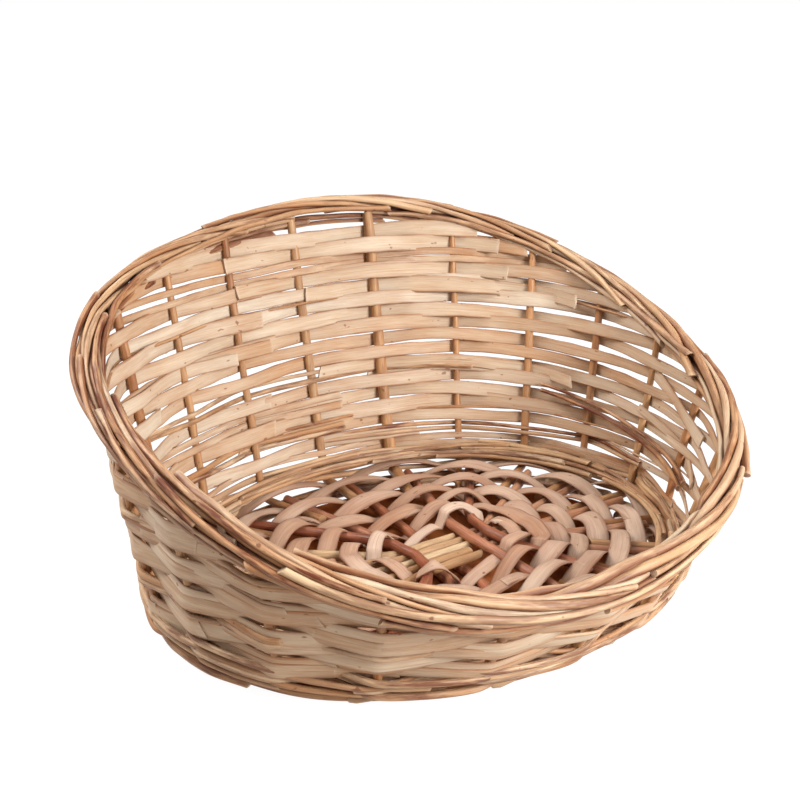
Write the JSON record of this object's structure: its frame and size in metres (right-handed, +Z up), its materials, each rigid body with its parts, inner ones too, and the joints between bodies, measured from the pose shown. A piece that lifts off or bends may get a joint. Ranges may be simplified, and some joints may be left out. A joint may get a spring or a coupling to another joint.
{
  "type": "pet bed basket",
  "caption": "Oval woven willow pet basket with a high back and a low front, split-willow walls and base on round stakes, a rolled rod border and a rod foot.",
  "frame": {"origin": "centre of the plan box, on the floor under the foot", "axes": "+X along the long axis of the oval, -Y towards the low front entrance, +Z up"},
  "size_m": [0.4227, 0.3957, 0.2198],
  "materials": {
    "strip": "bare peeled split willow, satin",
    "rod": "bare thin round willow rods, satin",
    "stake": "bare round willow stakes, satin",
    "base_stick_light": "bare pale round sticks, satin",
    "base_stick_dark": "red-brown sticks with their bark, satin"
  },
  "bodies": {
    "root": {"long_base_stick_1": "base_stick_light", "long_base_stick_2": "base_stick_light", "long_base_stick_3": "base_stick_light", "long_base_stick_4": "base_stick_light", "long_base_stick_5": "base_stick_light", "short_base_stick_1": "base_stick_dark", "short_base_stick_2": "base_stick_dark", "short_base_stick_3": "base_stick_dark", "short_base_stick_4": "base_stick_dark", "short_base_stick_5": "base_stick_dark", "base_round_1": "strip", "base_round_2": "strip", "base_round_3": "strip", "base_round_4": "strip", "base_round_5": "strip", "base_round_6": "strip", "foot_rod_outer": "rod", "foot_rod_inner": "rod", "stake_01": "stake", "stake_02": "stake", "stake_03": "stake", "stake_04": "stake", "stake_05": "stake", "stake_06": "stake", "stake_07": "stake", "stake_08": "stake", "stake_09": "stake", "stake_10": "stake", "stake_11": "stake", "stake_12": "stake", "stake_13": "stake", "stake_14": "stake", "stake_15": "stake", "stake_16": "stake", "stake_17": "stake", "stake_18": "stake", "stake_19": "stake", "stake_20": "stake", "upsett_rod_1": "rod", "upsett_rod_2": "rod", "side_row_01": "strip", "side_row_02": "strip", "side_row_03": "strip", "side_row_04": "strip", "side_row_05": "strip", "side_row_06": "strip", "side_row_07": "strip", "side_row_08": "strip", "side_row_09": "strip", "side_row_10": "strip", "side_row_11": "strip", "side_row_12": "strip", "side_row_13": "strip", "side_row_14": "strip", "side_row_15": "strip", "side_row_16": "strip", "side_row_17": "strip", "border_rods_outer": "rod", "border_rods_top": "rod", "border_rods_inner": "rod"}
  },
  "joints": []
}
